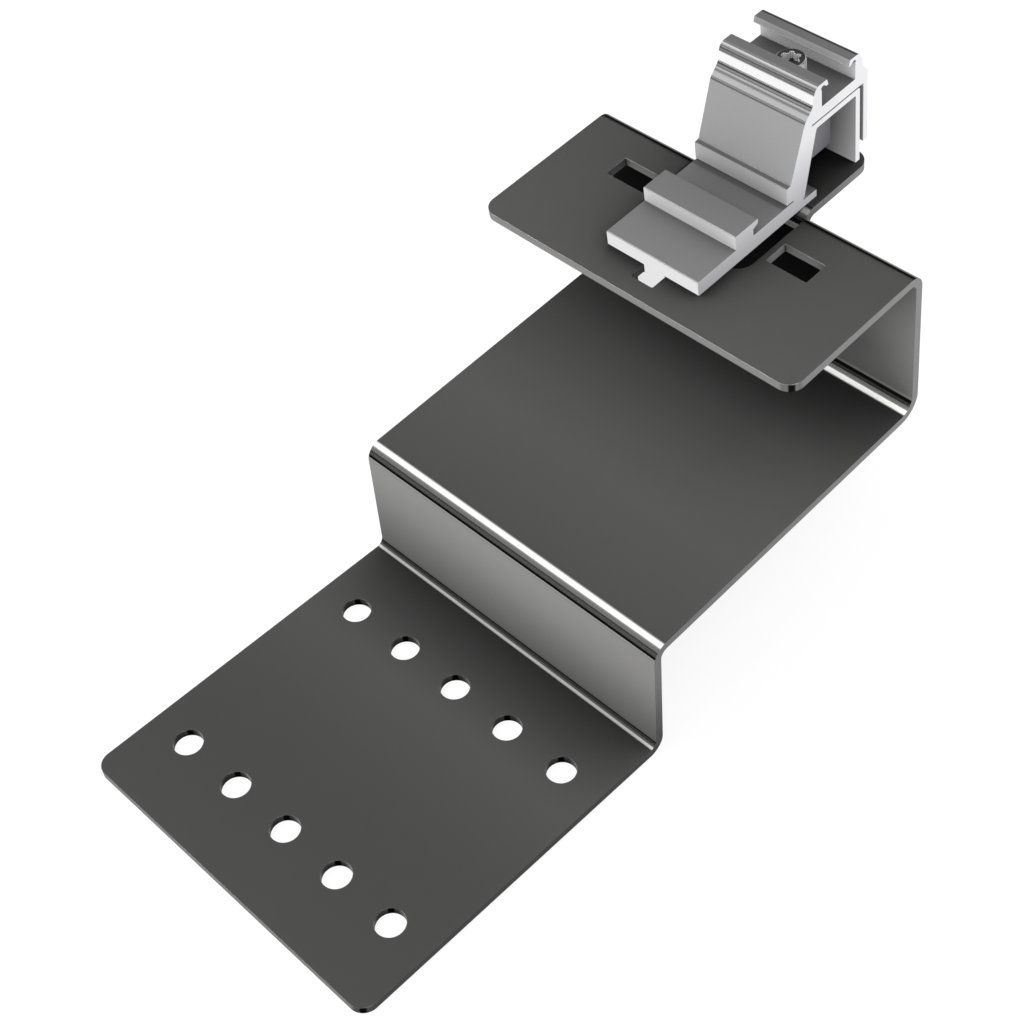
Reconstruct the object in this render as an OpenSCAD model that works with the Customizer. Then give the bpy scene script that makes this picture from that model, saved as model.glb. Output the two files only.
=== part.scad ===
// Roof hook for a solar rail: a folded steel sheet that carries a clamped aluminium rail bracket.
// X runs across the hook, Y runs from the fixing base to the bracket, and Z points away from the roof.
// The origin is the middle of the fixing holes, on the underside of the base.

/* [Folded sheet] */
// Width of the sheet
sheet_w = 130; // [120:1:200]
// Thickness of the sheet
sheet_t = 3; // [2:0.25:4]
// Length of the base, from its front edge to the face of the riser
base_l = 126; // [120:1:180]
// Rise of the riser, from the top of the base to the top of the shelf
riser_h = 47; // [30:1:80]
// Angle by which the riser leans back
riser_lean = 0.75; // [0:0.25:5]
// Length of the shelf, from the face of the riser to the face of the wall
shelf_l = 125.3; // [90:0.1:180]
// Clear height of the wall, from the top of the shelf to the underside of the top plate
wall_h = 56.9; // [45:0.1:90]
// Length of the top plate, from its front edge to the back of the wall
plate_l = 62; // [58:0.5:70]
// Slope of the shelf and of the top plate
tilt = 4.25; // [0:0.25:8]
// Inner radius of the bend between base and riser
foot_bend_r = 3; // [1:0.25:6]
// Inner radius of the bend between riser and shelf
shelf_bend_r = 3; // [1:0.25:6]
// Inner radius of the bend between shelf and wall
wall_bend_r = 5.5; // [1:0.25:8]
// Inner radius of the bend between wall and top plate
plate_bend_r = 2.5; // [1:0.25:4]
// Radius of the front corners of the base and of the top plate
corner_r = 5.5; // [1:0.5:8]

/* [Fixing holes] */
// Diameter of a fixing hole
hole_d = 10; // [5:0.5:12]
// Fixing holes in a row
hole_count = 5; // [2:1:5]
// Distance between neighbouring holes in a row
hole_pitch = 24.4; // [16:0.1:26]
// Distance between the two rows
row_pitch = 73.3; // [40:0.1:76]
// Distance from the front edge to the first row
front_margin = 25.85; // [12:0.05:28]

/* [Top plate cut-outs] */
// Sideways place of the window, the tongue and the side slots
cuts_x = -1.65; // [-4:0.05:4]
// Width of the window
window_w = 47.3; // [44:0.1:54]
// Distance from the front edge of the top plate to the window
window_front = 27.5; // [24:0.5:30]
// Radius of the front corners of the window
window_r = 6.5; // [1:0.5:8]
// Gap on each side of the tongue
tongue_gap = 1.4; // [0.8:0.1:2]
// Inner radius of the bend between wall and tongue
tongue_bend_r = 3; // [1:0.25:4]
// Length that the tongue gains as it is bent
tongue_gain = 0.5; // [0:0.1:2]
// Radius of the corners at the tip of the tongue
tongue_r = 6; // [1:0.5:8]
// Depth of the relief cuts beside the tongue, below the top of the plate
relief_depth = 8; // [7.5:0.5:12]
// Length of a hammer slot
slot_l = 16.1; // [14:0.1:18]
// Width of a hammer slot
slot_w = 9.3; // [8:0.1:10]
// Radius of the corners of the slots
slot_r = 0.6; // [0.2:0.1:2]
// Web between the window and a side slot
slot_web = 2.1; // [1.5:0.1:5]
// Distance from the front edge of the top plate to the side slots
slot_front = 36.9; // [34:0.1:40]
// Sideways place of the foot slot and the foot
foot_x = -0.4; // [-3:0.1:3]
// Distance from the front edge of the top plate to the foot slot
foot_slot_front = 6.5; // [4:0.5:11]

/* [Rail bracket] */
// Cut length of the bracket, across the sheet
bracket_w = 38; // [30:1:42]
// Sideways place of the bracket
bracket_x = -1.1; // [-3:0.1:3]
// Distance from the front edge of the top plate to the front of the bracket
bracket_set = 12.55; // [12:0.05:14]
// Thickness of the bracket's base
foot_t = 5.6; // [4:0.1:6.5]
// Thickness of the toe behind the wall
toe_t = 2.8; // [2:0.1:3]
// Length of the base, from its front to the end of the toe
foot_l = 56.65; // [55:0.05:58]
// Distance from the front of the base to the step
step_at = 17.85; // [14:0.05:20]
// Length of the step, over its lip
step_l = 10.7; // [9:0.1:12]
// Height of the step
step_h = 11; // [10:0.1:12]
// Depth of the undercut below the lip of the step
undercut = 2.4; // [1.5:0.1:3]
// Distance from the front of the base to the rib at the wall's root
rib_at = 42.35; // [40:0.05:43]
// Height of the rib
rib_h = 12.7; // [11:0.1:14]
// Width of the rib's top, up to the wall
rib_t = 1.9; // [1:0.1:3]
// Slope of the wall's front face from upright
wall_front_lean = 20.3; // [18:0.1:21]
// Slope of the wall's rear face from upright
wall_rear_lean = 15.2; // [14:0.1:16]
// Horizontal thickness of the wall at the level of the rib's top
wall_t = 8.9; // [8:0.1:10]
// Height of the channel's floor above the sheet
channel_v = 34; // [33:0.1:40]
// Thickness of the channel's floor
channel_floor_t = 4.1; // [3:0.1:4.5]
// Distance from the front of the base to the channel
channel_at = 59.8; // [59:0.1:61]
// Width of the rail channel
channel_w = 16.2; // [15:0.1:17]
// Height of the channel below its jaws
channel_h = 7.6; // [6.5:0.1:9]
// Width of the mouth between the jaws
mouth_w = 9.7; // [8:0.1:12]
// Thickness of a jaw
jaw_t = 1.25; // [1:0.05:2]
// Drop of the nose below the underside of a jaw
nose_h = 1; // [0.5:0.1:1.5]
// Length of a nose
nose_l = 1.1; // [0.8:0.1:1.5]
// Thickness of the front wall of the channel, at its top
front_cheek_t = 3.1; // [2.5:0.1:4]
// Thickness of the rear wall of the channel, at its top
rear_cheek_t = 2.7; // [2.2:0.1:3.5]
// Radius of the outer shoulders of the jaws
jaw_r = 2.8; // [1:0.1:3]
// Height of the slit under the channel's floor
slit_t = 0.45; // [0.3:0.05:1]
// Distance that the slit runs past the front of the channel
slit_reach = 4.85; // [3:0.05:6]
// Thickness of the strip below the slit
strip_t = 2.15; // [1.5:0.05:3]
// Thickness of the rear leg
leg_t = 2.05; // [1.5:0.05:3]
// Distance from the rear face of the channel to the inner face of the leg
leg_offset = 0.3; // [0:0.1:1]
// Gap between the rear leg and the flange
flange_gap = 1.75; // [1:0.05:3]
// Thickness of the flange
flange_t = 2.1; // [1.5:0.1:3]
// Height of the flange's lower edge above the sheet
flange_v = 6.45; // [4:0.05:12]
// Width of the hooked foot's stem
stem_w = 8.6; // [7:0.1:9]
// Width over the ears of the hooked foot
ears_w = 15.4; // [12:0.1:16]
// Depth of the hooked foot
hook_l = 6; // [4:0.5:8]
// Height of the ears
ears_h = 5.7; // [3:0.1:7]

/* [Clamp] */
// Thread diameter of the screw
screw_d = 6; // [5:0.5:6]
// Length of the screw below its head
screw_l = 30; // [27:1:31]
// Diameter of the screw's head
head_d = 10; // [9:0.1:10.5]
// Height of the screw's head
head_h = 4.6; // [4:0.1:5.5]
// Size of the drive recess, across its lobes
drive_d = 6.8; // [5:0.1:7.5]
// Depth of the drive recess
drive_h = 2.6; // [2:0.1:3]
// Width of the clamp block, across the sheet
block_w = 18; // [14:0.5:24]
// Height of the clamp block's underside above the sheet
block_v = 3.4; // [3.2:0.1:6]
// Thickness of the clamp block's hammer head
hammer_h = 5; // [3:0.5:8]

/* [Clearances] */
// Clearance on each side of a piece that slides in a slot
slide_clear = 0.25; // [0.1:0.05:0.5]
// Clearance on each side of the screw where it passes through the bracket
screw_clear = 0.3; // [0.1:0.05:0.5]
// Clearance on each side of the screw's thread in the clamp block
thread_clear = 0.05; // [0.02:0.01:0.1]
// Clearance between the sheet and the ears below it
ear_clear = 0.3; // [0.1:0.05:0.5]
// Clearance between the clamp block and the bracket around it
block_clear = 0.25; // [0.1:0.05:0.5]

/* [Hidden] */
$fn = 96;
past = 1; // how far a cutting tool runs past the face it cuts

// the folded sheet's face in the top plate's frame: the heading of each flat and the corner points
front_y = -row_pitch / 2 - front_margin;
headings = [-tilt, 90 - riser_lean - tilt, 0, 90, 180];
bend_radii = [foot_bend_r, shelf_bend_r, wall_bend_r, plate_bend_r];
plate_edge = [0, -sheet_t];
plate_corner = [plate_l - sheet_t, -sheet_t];
wall_corner = plate_corner - [0, wall_h];
shelf_corner = wall_corner - [shelf_l, 0];
foot_corner = shelf_corner - riser_h / cos(riser_lean) * heading(headings[1]);
base_edge = foot_corner - base_l * heading(headings[0]);
face_points = [base_edge, foot_corner, shelf_corner, wall_corner, plate_corner, plate_edge];

// the tongue fills the window in the flat sheet and is bent the other way
tongue_w = window_w - 2 * tongue_gap;
tongue_tip = plate_l + (plate_l - sheet_t - window_front) + tongue_gain;
foot_slot_w = stem_w + 2 * slide_clear;

// the bracket's profile in (u, v), measured from the front lower edge of its base
edge_r = 0.35;
channel_mid = channel_at + channel_w / 2;
channel_end = channel_at + channel_w;
head_top = channel_v + channel_h + jaw_t;
slit_top = channel_v - channel_floor_t;
slit_v = slit_top - slit_t;
strip_v = slit_v - strip_t;
leg_at = channel_end + leg_offset;
leg_end = leg_at + leg_t;
flange_at = leg_end + flange_gap;
flange_end = flange_at + flange_t;
wall_rear_root = rib_at + rib_t + wall_t;

// the clamp stands in the middle of the rail channel
screw_tip = channel_v - screw_l;
bore_floor = screw_tip - 1;
ears_top = -sheet_t - ear_clear;

function unit(p) = p / norm(p);
function wall_front(v) = rib_at + rib_t + (v - rib_h) * tan(wall_front_lean);
function wall_rear(v) = wall_rear_root + (v - rib_h) * tan(wall_rear_lean);

// the points of an outline whose corners are [x, y, radius], counter-clockwise
function rounded(corners) = [
    for (i = [0:len(corners) - 1])
        each rounded_corner(
            corners[(i + len(corners) - 1) % len(corners)],
            corners[i],
            corners[(i + 1) % len(corners)]
        )
];

// the arc that replaces one corner, in finer steps where it is large
function rounded_corner(before, corner, after) =
    let (
        at = [corner[0], corner[1]],
        r = corner[2],
        to_before = unit([before[0], before[1]] - at),
        to_after = unit([after[0], after[1]] - at),
        half = acos(max(-1, min(1, to_before * to_after))) / 2,
        start = at + r / tan(half) * to_before,
        side = cross(-to_before, to_after) > 0 ? 1 : -1,
        inward = side * [to_before[1], -to_before[0]],
        middle = start + r * inward,
        first = atan2(-inward[1], -inward[0]),
        turn = side * (180 - 2 * half),
        steps = ceil(abs(turn) / (r < 2 ? 15 : 5))
    )
    r == 0 ? [at] : [for (k = [0:steps]) middle + r * heading(first + turn * k / steps)];

function heading(a) = [cos(a), sin(a)];

module rounded_outline(corners) {
    polygon(rounded(corners));
}

// a rectangle between two corner points, with true round corners
module rounded_box(low, high, r) {
    translate([low[0] + r, low[1]]) square([high[0] - low[0] - 2 * r, high[1] - low[1]]);
    translate([low[0], low[1] + r]) square([high[0] - low[0], high[1] - low[1] - 2 * r]);
    for (x = [low[0] + r, high[0] - r])
        for (y = [low[1] + r, high[1] - r])
            translate([x, y]) circle(r = r);
}

// stands an outline up, with its first axis along Y and its second along Z, and runs it along X
module across(x_low, x_high) {
    translate([x_low, 0, 0])
        rotate([90, 0, 90])
            linear_extrude(x_high - x_low) children();
}

// the top plate's own frame: X across, Y back from its front edge, Z up from its upper face
module on_plate() {
    translate([0, front_y, sheet_t])
        rotate([tilt, 0, 0])
            translate([0, -base_edge[0], -base_edge[1]]) children();
}

// the bracket's own frame, on the top plate
module on_bracket() {
    on_plate() translate([0, bracket_set, 0]) children();
}

// the whole folded section: its outer side one way and its face the other
module sheet_profile() {
    last = len(face_points) - 1;
    turns = [for (i = [1:last - 1]) headings[i] - headings[i - 1]];
    face_r = [0, for (i = [0:last - 2]) bend_radii[i] + (turns[i] > 0 ? 0 : sheet_t), 0];
    outer_r = [0, for (i = [0:last - 2]) bend_radii[i] + (turns[i] > 0 ? sheet_t : 0), 0];
    outer_points = [
        for (i = [0:last])
            let (
                before = headings[max(i - 1, 0)],
                after = headings[min(i, last - 1)]
            )
            face_points[i] + sheet_t / cos((after - before) / 2) * heading((before + after) / 2 - 90)
    ];
    rounded_outline([
        for (i = [0:last]) [outer_points[i][0], outer_points[i][1], outer_r[i]],
        for (i = [last:-1:0]) [face_points[i][0], face_points[i][1], face_r[i]]
    ]);
}

// what is taken off one square corner to round it, with the corner at the origin
module corner_waste(r) {
    overlap = 0.02;
    difference() {
        translate([-past, -past]) square(r + past - overlap);
        translate([r - overlap, r - overlap]) circle(r = r);
    }
}

module front_corners() {
    for (side = [0, 1])
        mirror([side, 0])
            translate([-sheet_w / 2, 0]) corner_waste(corner_r);
}

module fixing_holes() {
    for (row = [-1, 1])
        for (i = [0:hole_count - 1])
            translate([(i - (hole_count - 1) / 2) * hole_pitch, row * row_pitch / 2, -past])
                cylinder(d = hole_d, h = sheet_t + 2 * past);
}

module base_corners() {
    translate([0, front_y, -past])
        linear_extrude(sheet_t + 2 * past) front_corners();
}

// the tongue's window, cut down into the wall as far as the relief beside the tongue
module window_cut() {
    translate([cuts_x, 0, -relief_depth])
        linear_extrude(relief_depth + past)
            rounded_box(
                [-window_w / 2, window_front],
                [window_w / 2, plate_l + window_r + past],
                window_r
            );
}

module hammer_slot(x, y) {
    translate([x - slot_l / 2, y - slot_w / 2]) rounded_box([0, 0], [slot_l, slot_w], slot_r);
}

module plate_slots() {
    slot_x = window_w / 2 + slot_web + slot_l / 2;
    translate([0, 0, -sheet_t - past])
        linear_extrude(sheet_t + 2 * past) {
            for (side = [-1, 1])
                hammer_slot(cuts_x + side * slot_x, slot_front + slot_w / 2);
            translate([foot_x, 0])
                rounded_box(
                    [-foot_slot_w / 2, foot_slot_front],
                    [foot_slot_w / 2, window_front + slot_r + past],
                    slot_r
                );
            front_corners();
        }
}

// the tongue seen from the side: the wall's end, the bend backwards and the flat
module tongue_profile() {
    outer_r = tongue_bend_r + sheet_t;
    face = plate_l - sheet_t;
    translate([face, -relief_depth - past])
        square([sheet_t, relief_depth + past - outer_r]);
    intersection() {
        translate([face + outer_r, -outer_r])
            difference() {
                circle(r = outer_r);
                circle(r = tongue_bend_r);
            }
        translate([face, -outer_r]) square(outer_r);
    }
    translate([face + outer_r, -sheet_t])
        square([tongue_tip - face - outer_r, sheet_t]);
}

// the strip of the wall that is bent backwards, with the slot that the clamp's hammer head passes
module tongue() {
    low_s = plate_l - sheet_t - tongue_r - past;
    difference() {
        intersection() {
            across(cuts_x - tongue_w / 2 - past, cuts_x + tongue_w / 2 + past) tongue_profile();
            translate([cuts_x, 0, -relief_depth - 2 * past])
                linear_extrude(relief_depth + 3 * past)
                    rounded_box([-tongue_w / 2, low_s], [tongue_w / 2, tongue_tip], tongue_r);
        }
        translate([0, 0, -sheet_t - past])
            linear_extrude(sheet_t + 2 * past)
                translate([bracket_x, bracket_set + channel_mid])
                    rotate(90) hammer_slot(0, 0);
    }
}

module hook_plate() {
    color("dimgray")
    union() {
        difference() {
            on_plate() across(-sheet_w / 2, sheet_w / 2) sheet_profile();
            fixing_holes();
            base_corners();
            on_plate() window_cut();
            on_plate() plate_slots();
        }
        on_plate() tongue();
    }
}

// the outside of the extrusion: base, rib, leaning wall, shoulder, head and flange
module bracket_outline() {
    batter = 0.2;        // sideways step of a cheek for each millimetre of height
    cheek_h = 6.35;      // height of the front cheek's steep face
    rear_cheek_h = 6;    // height of the rear cheek's steep face
    shoulder_h = 3.9;    // rise of the shoulder above the wall
    flange_drop = 3.1;   // fall of the slope from the rear cheek to the flange
    bead = 0.2;          // lift of the wall's foot above the rib
    front_top = channel_at - front_cheek_t;
    front_foot = [front_top - cheek_h * batter, head_top - cheek_h];
    rear_top = channel_end + rear_cheek_t;
    rear_foot = [rear_top + rear_cheek_h * batter, head_top - rear_cheek_h];
    shoulder_v = front_foot[1] - shoulder_h;
    rounded_outline([
        [0, 0, edge_r],
        [flange_end, 0, 0],
        [flange_end, rear_foot[1] - flange_drop, 0.6],
        [rear_foot[0], rear_foot[1], 2],
        [rear_top, head_top, jaw_r],
        [front_top, head_top, jaw_r],
        [front_foot[0], front_foot[1], 2.5],
        [wall_front(shoulder_v), shoulder_v, 0.8],
        [wall_front(rib_h), rib_h + bead, 0.3],
        [rib_at, rib_h, edge_r],
        [rib_at, foot_t, 0],
        [0, foot_t, edge_r]
    ]);
}

// the step with its undercut lip
module step_lip() {
    back = step_at + step_l;
    lip_t = 1.8;       // thickness of the lip at its end
    lip_slope = 1;     // how much thicker the lip is at its root
    lip_batter = 0.2;  // how far the lip's end leans out
    rounded_outline([
        [step_at, foot_t / 2, 0],
        [back - undercut, foot_t / 2, 0],
        [back - undercut, step_h - lip_t - lip_slope, edge_r],
        [back - lip_batter, step_h - lip_t, edge_r],
        [back, step_h, edge_r],
        [step_at, step_h, edge_r]
    ]);
}

// the room for the clamp block, between the wall, the strip and the rear leg, above the toe
module clamp_room() {
    notch_r = 0.5; // small round notch at the root of the wall
    rounded_outline([
        [foot_l, -past, 0],
        [leg_at, -past, 0],
        [leg_at, strip_v, 0.5],
        [wall_rear(strip_v), strip_v, 1],
        [wall_rear(toe_t), toe_t, 0.4],
        [foot_l, toe_t, edge_r]
    ]);
    translate([wall_rear(toe_t) + 0.3, toe_t + 0.45]) circle(r = notch_r);
}

// the gap behind the leg and the slit that runs from it below the channel's floor
module slit_and_gap() {
    slit_at = channel_at - slit_reach;
    rounded_outline([
        [leg_end, -past, 0],
        [flange_at, -past, 0],
        [flange_at, slit_top, 0],
        [slit_at, slit_top, 0],
        [slit_at, slit_v, 0],
        [leg_end, slit_v, 1]
    ]);
}

// the undercut channel that takes the rail's screw head, open at the top between the two jaws
module rail_channel() {
    jaw_v = channel_v + channel_h;
    nose_v = jaw_v - nose_h;
    lean = 0.6;       // how far a jaw's end leans back from its nose
    rim = 0.4;        // height of the chamfer at the top of a jaw's end
    notch_r = 0.35;   // small round notch in the channel's wall below a jaw
    notch_drop = 0.75;
    mouth = [channel_mid - mouth_w / 2, channel_mid + mouth_w / 2];
    rounded_outline([
        [channel_at, channel_v, 0.3],
        [channel_end, channel_v, 0.3],
        [channel_end, jaw_v, 0.4],
        [mouth[1] + nose_l + nose_h, jaw_v, 0.3],
        [mouth[1] + nose_l, nose_v, 0.2],
        [mouth[1], nose_v, 0.3],
        [mouth[1] + lean, head_top - rim, 0],
        [mouth[1] + lean + rim, head_top + past, 0],
        [mouth[0] - lean - rim, head_top + past, 0],
        [mouth[0] - lean, head_top - rim, 0],
        [mouth[0], nose_v, 0.3],
        [mouth[0] - nose_l, nose_v, 0.2],
        [mouth[0] - nose_l - nose_h, jaw_v, 0.3],
        [channel_at, jaw_v, 0.4]
    ]);
    for (u = [channel_at, channel_end])
        translate([u, jaw_v - notch_drop]) circle(r = notch_r);
}

module bracket_profile() {
    rib_slit = [3.1, 0.5];
    difference() {
        union() {
            bracket_outline();
            step_lip();
        }
        clamp_room();
        slit_and_gap();
        rail_channel();
        translate([leg_end, -past]) square([flange_end - leg_end + past, flange_v + past]);
        translate([rib_at - past, foot_t]) square([rib_slit[0] + past, rib_slit[1]]);
    }
}

// the milled foot: a stem through the slot and two ears below the sheet
module hooked_foot() {
    translate([foot_x, hook_l, 0])
        rotate([90, 0, 0])
            linear_extrude(hook_l) {
                translate([-stem_w / 2, ears_top - ears_h / 2])
                    square([stem_w, ears_h / 2 - ears_top + foot_t / 2]);
                rounded_box([-ears_w / 2, ears_top - ears_h], [ears_w / 2, ears_top], edge_r);
            }
}

module rail_bracket() {
    color("silver")
    on_bracket()
    difference() {
        union() {
            across(bracket_x - bracket_w / 2, bracket_x + bracket_w / 2) bracket_profile();
            hooked_foot();
        }
        translate([bracket_x, channel_mid, strip_v - past])
            cylinder(d = screw_d + 2 * screw_clear, h = channel_v - strip_v + 2 * past);
    }
}

// the six-lobed recess of the screw's head
module drive_recess() {
    lobe_r = drive_d / 8;
    circle(d = drive_d * 0.74);
    for (i = [0:5])
        rotate(60 * i) translate([drive_d / 2 - lobe_r, 0]) circle(r = lobe_r);
}

module clamp_screw() {
    tip = 0.8; // length and depth of the chamfer at the screw's tip
    color("gray")
    on_bracket()
    translate([bracket_x, channel_mid, channel_v])
    difference() {
        rotate_extrude()
            rounded_outline([
                [0, -screw_l, 0],
                [screw_d / 2 - tip, -screw_l, 0],
                [screw_d / 2, tip - screw_l, 0],
                [screw_d / 2, 0, 0],
                [head_d / 2, 0, 0.2],
                [head_d / 2, head_h, 0.5],
                [0, head_h, 0]
            ]);
        translate([0, 0, head_h - drive_h])
            linear_extrude(drive_h + past) drive_recess();
    }
}

// the hammer head below the tongue, with two opposite corners rounded so that it can turn
module hammer_outline() {
    turn_r = stem_w / 2 - 0.4;
    rounded_outline([
        [-stem_w / 2, -ears_w / 2, turn_r],
        [stem_w / 2, -ears_w / 2, edge_r],
        [stem_w / 2, ears_w / 2, turn_r],
        [-stem_w / 2, ears_w / 2, edge_r]
    ]);
}

module clamp_block() {
    front_clear = block_clear / cos(wall_rear_lean) + edge_r;
    rear = leg_at - block_clear;
    color("slategray")
    on_bracket()
    difference() {
        union() {
            across(bracket_x - block_w / 2, bracket_x + block_w / 2)
                rounded_outline([
                    [wall_rear(block_v) + front_clear, block_v, 0.4],
                    [rear, block_v, 0.4],
                    [rear, strip_v, 0.6],
                    [wall_rear(strip_v) + front_clear, strip_v, 0.6]
                ]);
            translate([bracket_x, channel_mid, -sheet_t - hammer_h / 2])
                cylinder(d = stem_w, h = block_v + sheet_t + hammer_h / 2 + past);
            translate([bracket_x, channel_mid, -sheet_t - hammer_h])
                linear_extrude(hammer_h) rotate(90) hammer_outline();
        }
        translate([bracket_x, channel_mid, bore_floor])
            cylinder(d = screw_d + 2 * thread_clear, h = strip_v - bore_floor + past);
    }
}

hook_plate();
rail_bracket();
clamp_screw();
clamp_block();
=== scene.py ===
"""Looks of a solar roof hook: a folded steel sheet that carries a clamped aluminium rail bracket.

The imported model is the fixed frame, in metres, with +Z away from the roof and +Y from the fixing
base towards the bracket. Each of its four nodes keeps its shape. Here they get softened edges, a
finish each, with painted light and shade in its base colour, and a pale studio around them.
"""

import logging
import math
from dataclasses import dataclass
from enum import Enum
from typing import Any, Union

import bmesh
import bpy
from mathutils import Matrix, Vector

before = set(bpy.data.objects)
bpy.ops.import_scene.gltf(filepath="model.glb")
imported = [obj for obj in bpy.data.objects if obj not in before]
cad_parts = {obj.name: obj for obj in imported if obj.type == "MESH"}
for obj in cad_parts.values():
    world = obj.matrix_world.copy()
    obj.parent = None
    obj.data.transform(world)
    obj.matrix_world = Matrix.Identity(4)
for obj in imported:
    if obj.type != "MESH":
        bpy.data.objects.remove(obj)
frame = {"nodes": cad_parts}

LOG = logging.getLogger("roof_hook")
MM = 0.001
# A normal's part along an axis above which a face counts as upright, and as square to the axis
UPRIGHT = 0.6
SQUARE = 0.9

Colour = tuple[float, float, float]
Point = tuple[float, float, float]


class Node(str, Enum):
    """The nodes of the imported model."""

    HOOK_PLATE = "hook_plate"
    RAIL_BRACKET = "rail_bracket"
    CLAMP_SCREW = "clamp_screw"
    CLAMP_BLOCK = "clamp_block"


class Axis(int, Enum):
    """An axis of the row frame, by its place in a vector."""

    X = 0
    Y = 1
    Z = 2


class Value:
    """A float socket that takes part in plain arithmetic, each step of which adds a Math node."""

    def __init__(self, tree: "ShaderTree", socket: bpy.types.NodeSocket) -> None:
        """Wraps a socket.

        Args:
            tree: the tree that the socket belongs to.
            socket: the output that carries the number.
        """
        self.tree = tree
        self.socket = socket

    def _math(self, operation: str, *terms: "Term", clamp: bool = False) -> "Value":
        """Adds one Math node.

        Args:
            operation: the node's operation.
            terms: its inputs, in order.
            clamp: whether the result is kept between 0 and 1.

        Returns:
            The node's output.
        """
        settings = {"operation": operation, "use_clamp": clamp}
        node = self.tree.add("ShaderNodeMath", settings, dict(enumerate(terms)))
        return Value(self.tree, node.outputs[0])

    def __add__(self, other: "Term") -> "Value":
        """Sum."""
        return self._math("ADD", self, other)

    __radd__ = __add__

    def __sub__(self, other: "Term") -> "Value":
        """Difference."""
        return self._math("SUBTRACT", self, other)

    def __rsub__(self, other: "Term") -> "Value":
        """Difference with the number in front."""
        return self._math("SUBTRACT", other, self)

    def __mul__(self, other: "Term") -> "Value":
        """Product."""
        return self._math("MULTIPLY", self, other)

    __rmul__ = __mul__

    def __truediv__(self, other: "Term") -> "Value":
        """Quotient."""
        return self._math("DIVIDE", self, other)

    def __rtruediv__(self, other: "Term") -> "Value":
        """Quotient with the number in front."""
        return self._math("DIVIDE", other, self)

    def __pow__(self, other: "Term") -> "Value":
        """Power."""
        return self._math("POWER", self, other)

    def __rpow__(self, other: "Term") -> "Value":
        """Power of the number in front."""
        return self._math("POWER", other, self)

    def __neg__(self) -> "Value":
        """The same with the other sign."""
        return self._math("MULTIPLY", self, -1.0)

    def __abs__(self) -> "Value":
        """Size without sign."""
        return self._math("ABSOLUTE", self)

    def __gt__(self, other: "Term") -> "Value":
        """1 where this is greater than the other, and 0 elsewhere."""
        return self._math("GREATER_THAN", self, other)

    def __lt__(self, other: "Term") -> "Value":
        """1 where this is less than the other, and 0 elsewhere."""
        return self._math("LESS_THAN", self, other)

    def angle_over(self, other: "Term") -> "Value":
        """The angle, in radians, of a direction that rises by this for each of the other."""
        return self._math("ARCTAN2", self, other)

    def clamped(self) -> "Value":
        """This, kept between 0 and 1."""
        return self._math("ADD", self, 0.0, clamp=True)

    def step(self, low: float, high: float) -> "Value":
        """Smooth rise from 0 to 1.

        Args:
            low: where the rise starts.
            high: where it ends.

        Returns:
            0 below low, 1 above high and a straight rise between them.
        """
        return ((self - low) / (high - low)).clamped()


Term = Union[Value, float]


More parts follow.
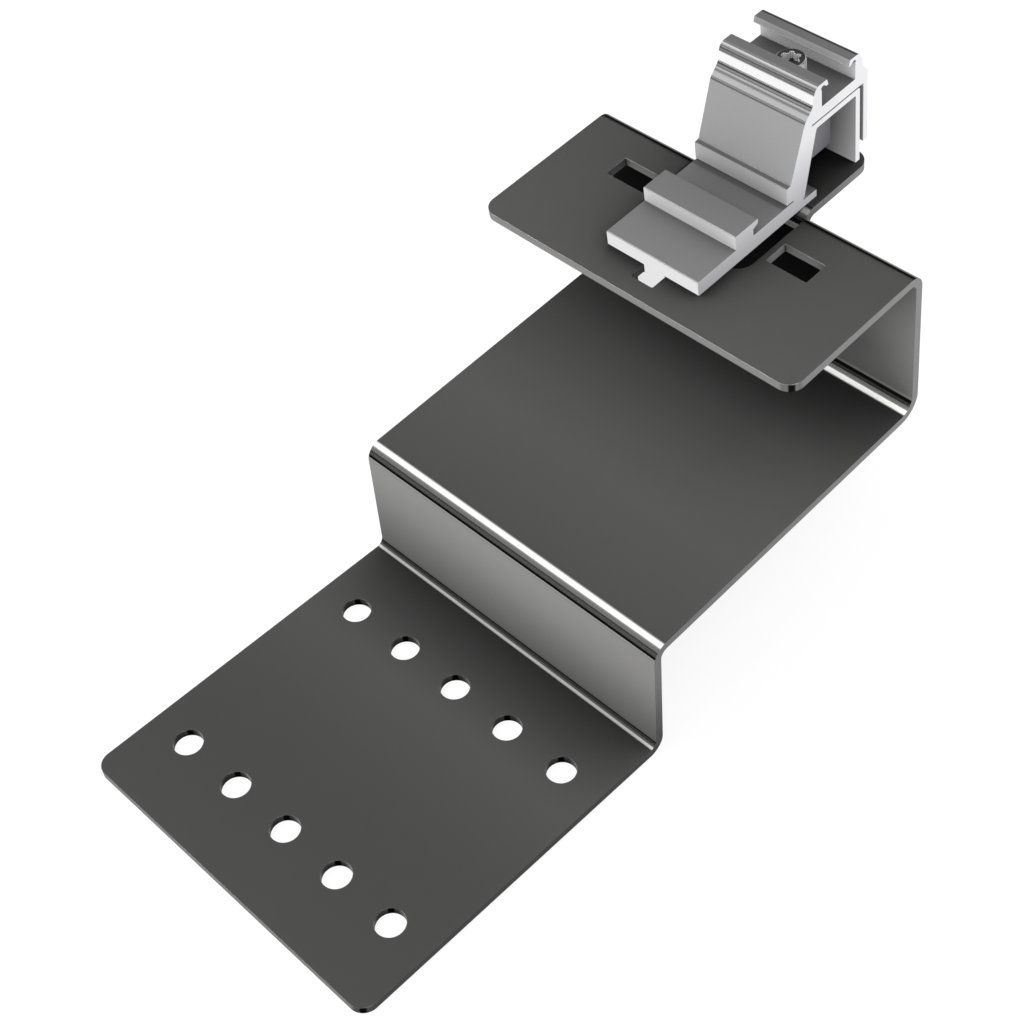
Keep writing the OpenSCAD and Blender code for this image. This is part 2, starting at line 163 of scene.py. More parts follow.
class ShaderTree:
    """A node tree that is written as expressions."""

    def __init__(self, tree: bpy.types.NodeTree) -> None:
        """Empties a tree to write it anew.

        Args:
            tree: the node tree of a material or of the world.
        """
        self.tree = tree
        tree.nodes.clear()

    def add(
        self, kind: str, settings: dict[str, Any] | None = None, inputs: dict[Any, Any] | None = None
    ) -> bpy.types.Node:
        """Adds any node.

        Args:
            kind: the node's type.
            settings: its properties, which are set first; stops are those of a ramp.
            inputs: a value, a socket or a wrapped socket for each named or numbered input.

        Returns:
            The node.
        """
        node = self.tree.nodes.new(kind)
        for name, value in (settings or {}).items():
            if name == "stops":
                self._set_stops(node.color_ramp, value)
            else:
                setattr(node, name, value)
        for name, value in (inputs or {}).items():
            self.feed(node.inputs[name], value)
        return node

    def feed(self, socket: bpy.types.NodeSocket, value: Any) -> None:
        """Links or sets one input.

        Args:
            socket: the input.
            value: what it gets.
        """
        if isinstance(value, Value):
            value = value.socket
        if isinstance(value, bpy.types.NodeSocket):
            self.tree.links.new(value, socket)
        else:
            socket.default_value = value

    @staticmethod
    def _set_stops(ramp: bpy.types.ColorRamp, stops: list[tuple[float, float]]) -> None:
        """Sets the grey stops of a ramp.

        Args:
            ramp: the ramp.
            stops: place and level of each stop.
        """
        while len(ramp.elements) < len(stops):
            ramp.elements.new(0.5)
        for element, (place, level) in zip(ramp.elements, stops):
            element.position = place
            element.color = (level, level, level, 1.0)

    def value(self, node: bpy.types.Node, output: Union[str, int] = 0) -> Value:
        """One output of a node as a value."""
        return Value(self, node.outputs[output])

    def noise(self, scale: Point, detail: float = 3.0, seed: float = 0.0) -> Value:
        """Noise over the piece's own coordinates.

        Args:
            scale: waves in each metre, along X, Y and Z.
            detail: octaves.
            seed: what sets one noise apart from another.

        Returns:
            The noise, from 0 to 1.
        """
        place = self.add("ShaderNodeTexCoord").outputs["Object"]
        mapping = self.add("ShaderNodeMapping", {}, {"Vector": place, "Scale": scale})
        settings = {"noise_dimensions": "4D"}
        inputs = {"Vector": mapping.outputs[0], "Scale": 1.0, "Detail": detail, "W": seed}
        return self.value(self.add("ShaderNodeTexNoise", settings, inputs), 0)

    def part(self, vector: bpy.types.NodeSocket, axis: Axis) -> Value:
        """One part of a vector."""
        return self.value(self.add("ShaderNodeSeparateXYZ", {}, {0: vector}), int(axis))

    def here(self, what: str) -> bpy.types.NodeSocket:
        """The Position or the Normal of the shaded point."""
        return self.add("ShaderNodeNewGeometry").outputs[what]

    def dot(self, first: Any, second: Any) -> Value:
        """Dot product of two vectors."""
        node = self.add("ShaderNodeVectorMath", {"operation": "DOT_PRODUCT"}, {0: first, 1: second})
        return self.value(node, "Value")

    def facing(self, axis: Axis) -> Value:
        """How squarely a face looks along an axis, from 0 to 1."""
        return abs(self.part(self.here("Normal"), axis))

    def blend(self, share: Term, first: Any, second: Any) -> bpy.types.NodeSocket:
        """Mixes two colours.

        Args:
            share: share of the second colour.
            first: colour at 0.
            second: colour at 1.

        Returns:
            The mixed colour.
        """
        settings = {"data_type": "RGBA"}
        node = self.add("ShaderNodeMix", settings, {0: share, 6: opaque(first), 7: opaque(second)})
        return node.outputs[2]

    def scale(self, colour: bpy.types.NodeSocket, share: Value) -> bpy.types.NodeSocket:
        """Darkens or lightens a colour.

        Args:
            colour: the colour.
            share: what it is multiplied by.

        Returns:
            The darker or lighter colour.
        """
        settings = {"operation": "SCALE"}
        return self.add("ShaderNodeVectorMath", settings, {0: colour, "Scale": share}).outputs[0]


@dataclass(frozen=True)
class Band:
    """A range of a value, with soft sides."""

    start: float
    full: float
    fading: float
    gone: float

    def over(self, value: Value) -> Value:
        """1 within the range, 0 beyond it, and a straight rise or fall at its sides."""
        return value.step(self.start, self.full) * (1 - value.step(self.fading, self.gone))


def opaque(colour: Any) -> Any:
    """A plain colour with its alpha, or a socket as it is."""
    return (*colour, 1.0) if isinstance(colour, tuple) and len(colour) == 3 else colour


@dataclass(frozen=True)
class PaintedFoldShade:
    """Painted shade in the hollow between the shelf and the top plate, which light hardly reaches."""

    middle: Point = (0.0, 150.0 * MM, 87.0 * MM)
    shelf_top: float = 40.0 * MM
    plate_low: float = 112.0 * MM
    mouth: float = 106.0 * MM
    deep: float = 172.0 * MM
    deep_shade: float = 0.60
    bend_gain: float = 0.7
    wall_low: float = 62.0 * MM
    wall_high: float = 78.0 * MM
    wall_shade: float = 0.98
    open_from: float = 26.0 * MM
    open_to: float = 66.0 * MM
    open_light: float = 0.5
    upright_light: float = 0.8
    bend: Band = Band(0.5, 0.65, 0.93, 0.97)

    def light(self, tree: ShaderTree) -> Value:
        """How much light is left.

        Args:
            tree: the material's tree.

        Returns:
            1 on all outer faces, less on the inner ones, and least high on the wall.
        """
        place, normal = tree.here("Position"), tree.here("Normal")
        to_middle = tree.add(
            "ShaderNodeVectorMath", {"operation": "SUBTRACT"}, {0: self.middle, 1: place}
        ).outputs[0]
        inner = tree.dot(to_middle, normal) > 0.0
        x, y, z = (tree.part(place, axis) for axis in Axis)
        inside = inner * (z > self.shelf_top) * (y > self.mouth)
        closed = 1 - x.step(self.open_from, self.open_to)
        upright = -tree.part(normal, Axis.Y) > UPRIGHT
        shut = 1 - (1 - closed) * self.open_light
        depth = y.step(self.mouth, self.deep) * inside * shut * (1 - upright * self.upright_light)
        high = z.step(self.wall_low, self.wall_high) * (1 - (z > self.plate_low))
        bend = self.bend.over(tree.part(normal, Axis.Z)) * inside
        # Painted shade deep inside the fold, and a painted highlight on its inner bend
        dimmed = (1 - depth * (1 - bend) * self.deep_shade) * (1 + bend * self.bend_gain)
        # Painted near-black shade high on the wall's inner face, under the top plate
        return dimmed * (1 - high * upright * inside * closed * self.wall_shade)


@dataclass(frozen=True)
class PlateFrame:
    """The top plate's own frame, in which the bracket's profile is measured."""

    tilt: float = math.radians(4.25)
    front: Point = (0.0, 125.79 * MM, 114.65 * MM)

    def along(self, tree: ShaderTree) -> Value:
        """Distance back from the plate's front edge."""
        return tree.dot(self._from_front(tree), (0.0, math.cos(self.tilt), math.sin(self.tilt)))

    def above(self, tree: ShaderTree) -> Value:
        """Height above the plate."""
        return tree.dot(self._from_front(tree), (0.0, -math.sin(self.tilt), math.cos(self.tilt)))

    def _from_front(self, tree: ShaderTree) -> bpy.types.NodeSocket:
        """The way from the plate's front edge to the shaded point.

        Args:
            tree: the material's tree.

        Returns:
            The way, in the row frame.
        """
        place = tree.here("Position")
        return tree.add(
            "ShaderNodeVectorMath", {"operation": "SUBTRACT"}, {0: place, 1: self.front}
        ).outputs[0]


@dataclass(frozen=True)
class PaintedHeadLines:
    """Painted reflections: dark lines along the head's front, and painted shade on its edges and rib.

    Each line has its height above the plate and its half width, in millimetres, and the share of
    light that it takes.
    """

    frame: PlateFrame = PlateFrame()
    lines: tuple[tuple[float, float, float], ...] = (
        (32.60, 0.45, 0.72),
        (33.05, 0.30, 0.55),
        (34.75, 0.50, 0.66),
        (35.65, 0.28, 0.82),
        (36.00, 0.25, 0.55),
        (36.40, 0.40, 0.70),
        (40.30, 0.25, 0.45),
        (40.60, 0.30, 0.88),
        (40.95, 0.35, 0.55),
        (41.40, 0.40, 0.35),
        (42.15, 0.55, 0.80),
        (12.70, 0.55, 0.40),
    )
    head_end: float = 73.0 * MM
    edge_shade: float = 0.75
    rib_from: float = 53.0 * MM
    rib_top: float = 12.3 * MM
    rib_shade: float = 0.28
    edge: Band = Band(0.70, 0.76, 0.93, 0.96)
    least_front: float = 0.02

    def light(self, tree: ShaderTree) -> Value:
        """How much light is left.

        Args:
            tree: the material's tree.

        Returns:
            Less than 1 on each line and on the slanted face of an edge.
        """
        normal = tree.here("Normal")
        front = -tree.part(normal, Axis.Y) > self.least_front
        edge = self.edge.over(tree.part(normal, Axis.Z)) * front
        above, along = self.frame.above(tree), self.frame.along(tree)
        head = front * (self.head_end > along)
        rib = head * (along > self.rib_from) * (self.rib_top > above)
        # Painted shade on the slanted edge faces and on the rib's top
        light = (1 - edge * self.edge_shade) * (1 - rib * self.rib_shade)
        # Painted reflection lines across the head's front
        for height, half, taken in self.lines:
            nearness = (1 - abs(above - height * MM) / (half * MM)).clamped()
            light = light * (1 - nearness * head * taken)
        return light


@dataclass(frozen=True)
class PaintedClampRoomShade:
    """Painted shade in the room between the leaning wall and the rear leg, and in the slit above it."""

    frame: PlateFrame = PlateFrame()
    low: float = -1.0 * MM
    high: float = 28.5 * MM
    leg: float = 86.0 * MM
    dark_x: float = 6.0 * MM
    light_x: float = 18.5 * MM
    dark: float = 0.90
    light_shade: float = 0.50
    slit_from: float = 27.0 * MM
    slit_to: float = 33.0 * MM
    slit_shade: float = 0.92

    def light(self, tree: ShaderTree) -> Value:
        """How much light is left.

        Args:
            tree: the material's tree.

        Returns:
            Less than 1 on the slit's floor and on the leg's inner face, least far from its end.
        """
        above, along = self.frame.above(tree), self.frame.along(tree)
        room = (above > self.low) * (self.high > above) * (along > self.leg)
        facing = -tree.part(tree.here("Normal"), Axis.Y) > UPRIGHT
        outward = tree.part(tree.here("Position"), Axis.X).step(self.dark_x, self.light_x)
        # Painted shade on the leg's inner face, lighter outwards
        leg = 1 - room * facing * (self.dark - outward * (self.dark - self.light_shade))
        level = tree.part(tree.here("Normal"), Axis.Z) > SQUARE
        slit = level * (above > self.slit_from) * (self.slit_to > above)
        # Painted shade in the slit
        return leg * (1 - slit * self.slit_shade)


@dataclass(frozen=True)
class PaintedSawnEndShade:
    """Painted shade on the sawn ends of the bracket, which darkens them low down."""

    frame: PlateFrame = PlateFrame()
    low_light: float = 0.47
    gain: float = 0.50
    top: float = 26.0 * MM
    leg: float = 80.0 * MM

    def light(self, tree: ShaderTree) -> Value:
        """How much light is left.

        Args:
            tree: the material's tree.

        Returns:
            Less than 1 on the ends, and least at their foot.
        """
        above, along = self.frame.above(tree), self.frame.along(tree)
        end = (tree.facing(Axis.X) > SQUARE) * (self.leg > along)
        # Painted shade on the ends, lighter with height above the plate
        return 1 - end * (1 - self.low_light - above.step(0.0, self.top) * self.gain)


@dataclass(frozen=True)
class PaintedEdgeHighlights:
    """Painted highlights on the top plate's and slots' broken edges, and painted light on the tongue."""

    low: float = 110.0 * MM
    back: float = 177.0 * MM
    gain: float = 1.8
    tongue: float = 190.0 * MM
    tongue_gain: float = 0.8
    edge: Band = Band(0.35, 0.5, 0.93, 0.97)

    def light(self, tree: ShaderTree) -> Value:
        """How much light is left.

        Args:
            tree: the material's tree.

        Returns:
            More than 1 on the broken edges and on the tongue, and 1 elsewhere.
        """
        place = tree.here("Position")
        y, high = tree.part(place, Axis.Y), tree.part(place, Axis.Z) > self.low
        rise = tree.part(tree.here("Normal"), Axis.Z)
        edge = self.edge.over(rise) * (self.back > y)
        tongue = (rise > SQUARE) * (y > self.tongue)
        # Painted highlights on the broken edges, and painted light on the tongue
        return 1 + high * (edge * self.gain + tongue * self.tongue_gain)


@dataclass(frozen=True)
class PaintedBendReflections:
    """Painted reflections: thin black lines along each bend and a black part on each round upright face.

    Each has the middle and the half width of the angles that it covers, in degrees, and the share
    of light that it takes. A bend's angle is that of its normal, up from the front, and a corner's
    is that of its normal, sideways from the front.
    """

    bends: tuple[tuple[float, float, float], ...] = (
        (22.0, 5.0, 0.90),
        (13.0, 6.5, 0.35),
        (106.0, 8.5, 0.97),
        (132.0, 9.0, 0.60),
    )
    corner: tuple[float, float, float] = (46.0, 15.0, 0.97)
    most_across: float = 0.35
    crispness: float = 2.5

    def light(self, tree: ShaderTree) -> Value:
        """How much light is left.

        Args:
            tree: the material's tree.

        Returns:
            Less than 1 where the face looks one of the given ways.
        """
        x, y, z = (tree.part(tree.here("Normal"), axis) for axis in Axis)
        tilt = z.angle_over(-y)
        turn = x.angle_over(-y)
        # Painted reflections: black lines chosen by the angle of the normal
        light = 1 - self._taken(turn, self.corner) * (self.most_across > abs(z))
        for line in self.bends:
            light = light * (1 - self._taken(tilt, line) * (self.most_across > abs(x)))
        return light

    def _taken(self, angle: Value, line: tuple[float, float, float]) -> Value:
        """The share of light that a line takes at an angle.

        Args:
            angle: the angle, in radians.
            line: the line's angle and half width in degrees, and its share.

        Returns:
            The share at the line, falling to 0 at its sides.
        """
        middle, half, taken = math.radians(line[0]), math.radians(line[1]), line[2]
        return ((1 - abs(angle - middle) / half) * self.crispness).clamped() * taken


# Painted light and shade, each of which scales a finish's base colour
PaintedLight = Union[PaintedFoldShade, PaintedHeadLines, PaintedClampRoomShade, PaintedSawnEndShade, PaintedEdgeHighlights, PaintedBendReflections]


@dataclass(frozen=True)
class MetalFinish:
    """A metal surface: its colour, its gloss, the marks of how it was made, and painted light and shade.

    The cut faces, such as a sawn end, look along the cut axis, and have a colour, a gloss and a
    grain of their own. Painted shade darkens the creases as far as their reach, by the piece alone
    or by its neighbours too, and the painted light and shade scale the base colour.
    """

    name: str
    colour: Colour
    mottle_colour: Colour
    roughness: float
    roughness_spread: float
    grain: Point
    grain_depth: float
    cut_colour: Colour
    cut_roughness: float
    cut_grain: Point
    cut_axis: Axis = Axis.X
    cut_from: float = 0.95
    metallic: float = 0.9
    crease_shade_samples: int = 6
    crease_shade_reach: float = 40.0 * MM
    crease_shade_power: float = 2.6
    own_crease_shade: bool = False
    painted_lights: tuple[PaintedLight, ...] = ()
    wall_roughness: float | None = None
    leaning: Band = Band(0.19, 0.21, 0.36, 0.38)
    mottle_grain: Point = (22.0, 22.0, 22.0)
    mottle_from: float = 0.35
    mottle_to: float = 0.65
    # Painted light below which the metal loses its gloss, so that painted black stays black
    metal_from: float = 1 / 12

    def material(self) -> bpy.types.Material:
        """Builds the material.

        Returns:
            The material, whose cut faces are told from the others by the way they look.
        """
        material = bpy.data.materials.new(self.name)
        material.use_nodes = True
        tree = ShaderTree(material.node_tree)
        cut = tree.facing(self.cut_axis) > self.cut_from
        along = tree.noise(self.grain, detail=4.0)
        across = tree.noise(self.cut_grain, detail=3.0, seed=2.0)
        grain = along * (1 - cut) + across * cut
        # Painted light and shade, which scale the base colour and dull the metal where deepest
        light = self._light(tree)
        settings = {"Strength": 1.0, "Distance": self.grain_depth, "Height": grain}
        bump = tree.add("ShaderNodeBump", {}, settings)
        shader = tree.add(
            "ShaderNodeBsdfPrincipled",
            {},
            {
                "Base Color": tree.scale(self._clean_colour(tree, cut), light),
                "Metallic": light.step(0.0, self.metal_from) * self.metallic,
                "Specular IOR Level": 0.0,
                "Roughness": self._roughness(tree, cut, grain),
                "Normal": bump.outputs[0],
            },
        )
        tree.add("ShaderNodeOutputMaterial", {}, {"Surface": shader.outputs[0]})
        return material

    def _clean_colour(self, tree: ShaderTree, cut: Value) -> bpy.types.NodeSocket:
        """The colour in full light, faintly mottled, and another one on the cut faces.

        Args:
            tree: the material's tree.
            cut: 1 on the cut faces and 0 elsewhere.

        Returns:
            The colour.
        """
        mottle = tree.noise(self.mottle_grain, detail=2.0, seed=5.0)
        share = mottle.step(self.mottle_from, self.mottle_to)
        return tree.blend(cut, tree.blend(share, self.colour, self.mottle_colour), self.cut_colour)

    def _light(self, tree: ShaderTree) -> Value:
        """Painted light and shade: how much light is left in the creases and where the shades lie.

        Args:
            tree: the material's tree.

        Returns:
            1 on open faces, less where they are shaded and more where they are brightened.
        """
        settings = {"samples": self.crease_shade_samples, "only_local": self.own_crease_shade}
        # Painted shade: ambient occlusion darkens the base colour in the creases
        crease_shade = tree.add("ShaderNodeAmbientOcclusion", settings, {"Distance": self.crease_shade_reach})
        light = tree.value(crease_shade, "AO") ** self.crease_shade_power
        for shade in self.painted_lights:
            light = light * shade.light(tree)
        return light

    def _roughness(self, tree: ShaderTree, cut: Value, grain: Value) -> Value:
        """The roughness, which differs on the cut and the brushed faces.

        Args:
            tree: the material's tree.
            cut: 1 on the cut faces and 0 elsewhere.
            grain: the grain, from 0 to 1, which varies the roughness.

        Returns:
            The roughness.
        """
        base = cut * (self.cut_roughness - self.roughness) + self.roughness
        if self.wall_roughness is not None:
            base = base + self._leaning(tree) * (self.wall_roughness - self.roughness)
        return base + (grain - 0.5) * self.roughness_spread

    def _leaning(self, tree: ShaderTree) -> Value:
        """Picks out the front of the leaning wall, which is brushed.

        Args:
            tree: the material's tree.

        Returns:
            1 on that face and 0 elsewhere.
        """
        normal = tree.here("Normal")
        front = -tree.part(normal, Axis.Y) > UPRIGHT
        return self.leaning.over(tree.part(normal, Axis.Z)) * front


@dataclass(frozen=True)
class EdgeBreak:
    """The small rounding that every real edge has, and smooth shading over the bends."""

    width: float = 0.22 * MM
    segments: int = 3
    sharp_angle: float = math.radians(28)
    smooth_angle: float = math.radians(50)
    flat_angle: float = math.radians(0.6)
    flat_weight: int = 100
    join_reach: float = 0.001 * MM

    def apply(self, piece: bpy.types.Object) -> None:
        """Adds the modifiers to a piece.

        Args:
            piece: the piece, whose own mesh stays as it is.
        """
        shading = piece.modifiers.new("joined", "NODES")
        shading.node_group = self._joined()
        planar = piece.modifiers.new("flats", "DECIMATE")
        planar.decimate_type = "DISSOLVE"
        planar.angle_limit = self.flat_angle
        bevel = piece.modifiers.new("broken_edges", "BEVEL")
        bevel.width = self.width
        bevel.segments = self.segments
        bevel.limit_method = "ANGLE"
        bevel.angle_limit = self.sharp_angle
        bevel.miter_outer = "MITER_ARC"
        bevel.use_clamp_overlap = True
        bevel.harden_normals = False
        smooth = piece.modifiers.new("smooth", "NODES")
        smooth.node_group = self._smoothed()
        level = piece.modifiers.new("level_flats", "WEIGHTED_NORMAL")
        level.weight = self.flat_weight
        level.keep_sharp = True

    def _joined(self) -> bpy.types.NodeTree:
        """Joins the corners of neighbouring faces and drops stored normals.

        Returns:
            The node group that does so.
        """
        group = self._group("join_faces")
        nodes = group.nodes
        start = nodes.new("NodeGroupInput")
        merge = nodes.new("GeometryNodeMergeByDistance")
        merge.inputs["Distance"].default_value = self.join_reach
        drop = nodes.new("GeometryNodeRemoveAttribute")
        drop.inputs["Name"].default_value = "custom_normal"
        end = nodes.new("NodeGroupOutput")
        group.links.new(start.outputs[0], drop.inputs[0])
        group.links.new(drop.outputs[0], merge.inputs[0])
        group.links.new(merge.outputs[0], end.inputs[0])
        return group

    def _smoothed(self) -> bpy.types.NodeTree:
        """Smooths the shading over all but the sharp edges.

        Returns:
            The node group that does so.
        """
        group = self._group("smooth_by_angle")
        nodes = group.nodes
        start = nodes.new("NodeGroupInput")
        faces = nodes.new("GeometryNodeSetShadeSmooth")
        angle = nodes.new("GeometryNodeInputMeshEdgeAngle")
        sharp = nodes.new("FunctionNodeCompare")
        sharp.operation = "LESS_THAN"
        sharp.inputs["B"].default_value = self.smooth_angle
        edges = nodes.new("GeometryNodeSetShadeSmooth")
        edges.domain = "EDGE"
        end = nodes.new("NodeGroupOutput")
        group.links.new(start.outputs[0], faces.inputs[0])
        group.links.new(faces.outputs[0], edges.inputs[0])
        group.links.new(angle.outputs[0], sharp.inputs["A"])
        group.links.new(sharp.outputs[0], edges.inputs["Shade Smooth"])
        group.links.new(edges.outputs[0], end.inputs[0])
        return group

    @staticmethod
    def _group(name: str) -> bpy.types.NodeTree:
        """Adds a geometry node group with one input and one output.

        Args:
            name: its name.

        Returns:
            The node group, still without nodes.
        """
        group = bpy.data.node_groups.new(name, "GeometryNodeTree")
        for way in ("INPUT", "OUTPUT"):
            group.interface.new_socket("Geometry", in_out=way, socket_type="NodeSocketGeometry")
        return group


STEEL = MetalFinish(
    name="satin_steel",
    colour=(0.292, 0.290, 0.285),
    mottle_colour=(0.298, 0.296, 0.291),
    roughness=0.11,
    roughness_spread=0.03,
    grain=(1400.0, 90.0, 1400.0),
    grain_depth=0.0008 * MM,
    cut_colour=(0.30, 0.30, 0.305),
    cut_roughness=0.28,
    cut_grain=(900.0, 900.0, 120.0),
    # Painted shade in the fold, painted highlights on the edges and painted reflections on the bends
    painted_lights=(PaintedFoldShade(), PaintedEdgeHighlights(), PaintedBendReflections()),
)
ALUMINIUM = MetalFinish(
    name="extruded_aluminium",
    colour=(0.90, 0.90, 0.905),
    mottle_colour=(0.915, 0.915, 0.92),
    roughness=0.19,
    roughness_spread=0.04,
    grain=(60.0, 1800.0, 1800.0),
    grain_depth=0.001 * MM,
    cut_colour=(0.93, 0.93, 0.955),
    cut_roughness=0.28,
    cut_grain=(500.0, 2200.0, 220.0),
    metallic=1.0,
    crease_shade_power=1.0,
    own_crease_shade=True,
    # Painted reflection lines on the head, and painted shade in the clamp room and on the sawn ends
    painted_lights=(PaintedHeadLines(), PaintedClampRoomShade(), PaintedSawnEndShade()),
    wall_roughness=0.42,
)
# The faces that look along Z, such as the head's top, get a far darker colour than the rest
SCREW_STEEL = MetalFinish(
    name="screw_steel",
    colour=(0.85, 0.85, 0.85),
    mottle_colour=(0.87, 0.87, 0.87),
    roughness=0.16,
    roughness_spread=0.04,
    grain=(700.0, 700.0, 700.0),
    grain_depth=0.001 * MM,
    cut_colour=(0.20, 0.20, 0.20),
    cut_roughness=0.2,
    cut_grain=(700.0, 700.0, 700.0),
    cut_axis=Axis.Z,
    crease_shade_power=0.8,
)
BLOCK_METAL = MetalFinish(
    name="block_metal",
    colour=(0.32, 0.32, 0.35),
    mottle_colour=(0.34, 0.34, 0.37),
    roughness=0.38,
    roughness_spread=0.08,
    grain=(80.0, 900.0, 900.0),
    grain_depth=0.006 * MM,
    cut_colour=(0.42, 0.42, 0.46),
    cut_roughness=0.42,
    cut_grain=(500.0, 1600.0, 260.0),
    crease_shade_power=1.0,
)


@dataclass
class DressedNode:
    """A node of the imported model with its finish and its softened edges."""

    node: Node
    finish: MetalFinish
    edges: EdgeBreak = EdgeBreak()

    def build(self) -> bpy.types.Object:
        """Dresses the node.

        Returns:
            The node's object.
        """
        piece = frame["nodes"][self.node.value]
        material = self.finish.material()
        piece.data.materials.clear()
        piece.data.materials.append(material)
        self.edges.apply(piece)
        piece.visible_glossy = False
        LOG.info("dressed %s in %s", piece.name, material.name)
        return piece


@dataclass
class Studio:
    """A pale floor, a painted light tent around the hook and a white background.

    The tent is plain, but for the part that the hook mirrors to a viewer in front and to one side:
    there it has the bands of white, grey and black that the photograph shows along the bends. Each
    band has its angle, in degrees up from the front and over the top, and its level.
    """

    floor_half: float = 3.4
    floor_drop: float = 0.3 * MM
    floor_glow: float = 0.84
    floor_colour: Colour = (0.22, 0.22, 0.22)
    tent_radius: float = 5.0
    tent_peak: float = 4.0
    tent_plain: float = 0.75
    tent_fade: float = 0.25
    tent_sides: Band = Band(0.22, 0.34, 0.70, 0.82)
    tent_bands: tuple[tuple[float, float], ...] = (
        (-180, 0.50),
        (-164, 0.50),
        (-148, 1.10),
        (-136, 0.95),
        (-129, 0.66),
        (-117, 0.48),
        (-70, 0.85),
        (-50, 0.90),
        (-42, 1.15),
        (-28, 2.00),
        (-25, 0.00),
        (-8, 0.00),
        (-5, 0.18),
        (16, 0.20),
        (18, 0.02),
        (25, 0.02),
        (28, 0.60),
        (41, 0.50),
        (55, 0.90),
        (58, 4.00),
        (86, 4.00),
        (96, 0.65),
        (102, 0.15),
        (110, 0.15),
        (114, 0.23),
        (118, 0.30),
        (122, 0.24),
        (127, 0.18),
        (140, 0.12),
        (148, 0.00),
        (174, 0.00),
        (180, 0.50),
    )

    def build(self) -> None:
        """Sets up the studio."""
        self._world()
        self._floor()
        self._tent()

    def _world(self) -> None:
        """A white background."""
        world = bpy.data.worlds.new("studio")
        world.use_nodes = True
        bpy.context.scene.world = world
        tree = ShaderTree(world.node_tree)
        white = tree.add("ShaderNodeBackground", {}, {"Color": (1.0, 1.0, 1.0, 1.0), "Strength": 1.0})
        tree.add("ShaderNodeOutputWorld", {}, {"Surface": white.outputs[0]})

    def _floor(self) -> None:
        """The floor, white to the eye, with the hook's faint shadow."""
        material = bpy.data.materials.new("floor_white")
        material.use_nodes = True
        tree = ShaderTree(material.node_tree)
        glow = seen_directly(tree) * self.floor_glow
        shader = tree.add(
            "ShaderNodeBsdfPrincipled",
            {},
            {
                "Base Color": (*self.floor_colour, 1.0),
                "Roughness": 1.0,
                "Specular IOR Level": 0.0,
                "Emission Color": tree.blend(glow, (0.0, 0.0, 0.0), (1.0, 1.0, 1.0)),
                "Emission Strength": 1.0,
            },
        )
        tree.add("ShaderNodeOutputMaterial", {}, {"Surface": shader.outputs[0]})
        half = self.floor_half
        corners = [(-half, -half, 0.0), (half, -half, 0.0), (half, half, 0.0), (-half, half, 0.0)]
        floor = stage_mesh("floor", corners, [(0, 1, 2, 3)], material)
        floor.location.z = -self.floor_drop
        floor.visible_glossy = False

    def _tent(self) -> None:
        """The light tent: bands of white, grey and black cloth that run across the hook."""
        form = bmesh.new()
        bmesh.ops.create_icosphere(form, subdivisions=3, radius=self.tent_radius)
        form.verts.ensure_lookup_table()
        corners = [tuple(corner.co) for corner in form.verts]
        faces = [tuple(corner.index for corner in face.verts) for face in form.faces]
        form.free()
        tent = stage_mesh("light_tent", corners, faces, self._cloth())
        tent.visible_camera = False
        tent.visible_shadow = False

    def _cloth(self) -> bpy.types.Material:
        """The tent's cloth, with bands by the angle up from the front and over the top.

        Returns:
            The material.
        """
        material = bpy.data.materials.new("tent_cloth")
        material.use_nodes = True
        tree = ShaderTree(material.node_tree)
        place = tree.add("ShaderNodeTexCoord").outputs["Object"]
        aim = tree.add("ShaderNodeVectorMath", {"operation": "NORMALIZE"}, {0: place}).outputs[0]
        side, rear, up = (tree.part(aim, axis) for axis in Axis)
        turn = up.angle_over(-rear) / (2 * math.pi) + 0.5
        stops = [((degrees + 180) / 360, level / self.tent_peak) for degrees, level in self.tent_bands]
        bands = tree.value(tree.add("ShaderNodeValToRGB", {"stops": stops}, {0: turn}))
        banded = self.tent_sides.over(abs(side))
        plain = up * self.tent_fade + self.tent_plain
        level = banded * bands * self.tent_peak + (1 - banded) * plain
        shader = tree.add("ShaderNodeEmission", {}, {"Color": level, "Strength": 1.0})
        tree.add("ShaderNodeOutputMaterial", {}, {"Surface": shader.outputs[0]})
        return material


def seen_directly(tree: ShaderTree) -> Value:
    """Tells what the eye sees, also by way of metal or glass, from what only lights.

    Args:
        tree: the material's tree.

    Returns:
        1 for rays from the eye and 0 for the others.
    """
    path = tree.add("ShaderNodeLightPath")
    rays = [tree.value(path, name) for name in ("Is Camera Ray", "Is Glossy Ray", "Is Transmission Ray")]
    return (rays[0] + rays[1] + rays[2]).clamped()


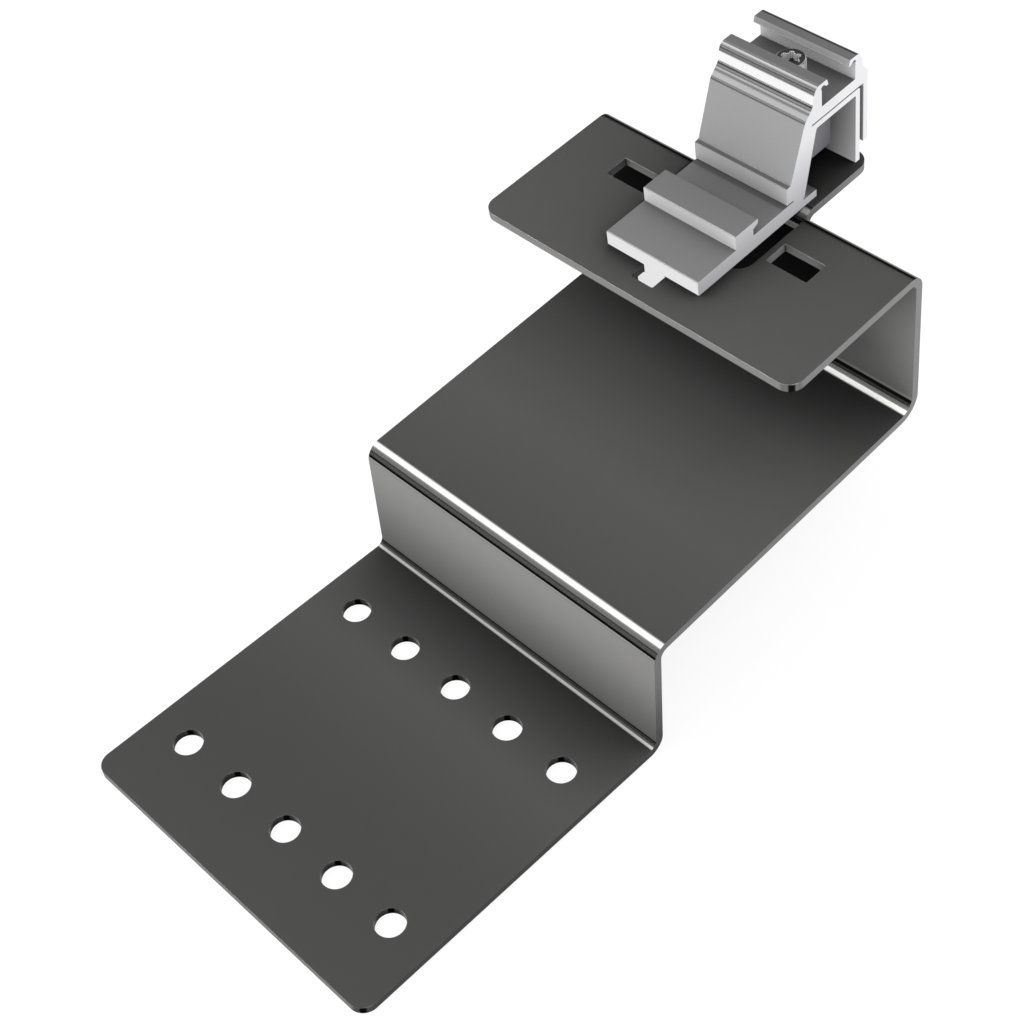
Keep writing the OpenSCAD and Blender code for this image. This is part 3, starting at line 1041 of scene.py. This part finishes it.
def stage_mesh(
    name: str, corners: list[Point], faces: list[tuple[int, ...]], material: bpy.types.Material
) -> bpy.types.Object:
    """Adds a mesh that belongs to the studio.

    Args:
        name: its name.
        corners: its points.
        faces: the points of each face.
        material: what it is made of.

    Returns:
        The object.
    """
    mesh = bpy.data.meshes.new(name)
    mesh.from_pydata(corners, [], faces)
    mesh.materials.append(material)
    thing = bpy.data.objects.new(name, mesh)
    bpy.context.scene.collection.objects.link(thing)
    return thing


@dataclass(frozen=True)
class Viewpoint:
    """The camera, at the photograph's place and angle."""

    place: Point = (315.01 * MM, -193.92 * MM, 512.97 * MM)
    look: Point = (-0.51461, 0.45926, -0.72406)
    right: Point = (0.71266, 0.69864, -0.06336)
    lens: float = 68.22
    sensor: float = 36.0
    shift: tuple[float, float] = (-0.03675, -0.04789)
    nearest: float = 10.0 * MM

    def build(self) -> None:
        """Sets up the scene's camera."""
        camera = bpy.data.cameras.new("viewpoint")
        camera.lens = self.lens
        camera.sensor_width = self.sensor
        camera.shift_x, camera.shift_y = self.shift
        camera.clip_start = self.nearest
        back = -Vector(self.look).normalized()
        right = Vector(self.right).normalized()
        up = back.cross(right)
        turn = Matrix((right, up, back)).transposed().to_4x4()
        holder = bpy.data.objects.new("viewpoint", camera)
        holder.matrix_world = Matrix.Translation(Vector(self.place)) @ turn
        bpy.context.scene.collection.objects.link(holder)
        bpy.context.scene.camera = holder


def main() -> None:
    """Builds the studio and dresses the four nodes."""
    logging.basicConfig(level=logging.INFO, format="%(message)s")
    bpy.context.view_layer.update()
    bpy.context.scene.view_settings.view_transform = "Standard"
    Viewpoint().build()
    Studio().build()
    dressed = [
        DressedNode(Node.HOOK_PLATE, STEEL),
        DressedNode(Node.RAIL_BRACKET, ALUMINIUM),
        DressedNode(Node.CLAMP_SCREW, SCREW_STEEL, EdgeBreak(width=0.12 * MM)),
        DressedNode(Node.CLAMP_BLOCK, BLOCK_METAL),
    ]
    for item in dressed:
        item.build()
    bpy.context.view_layer.update()


if __name__ == "__main__":
    main()
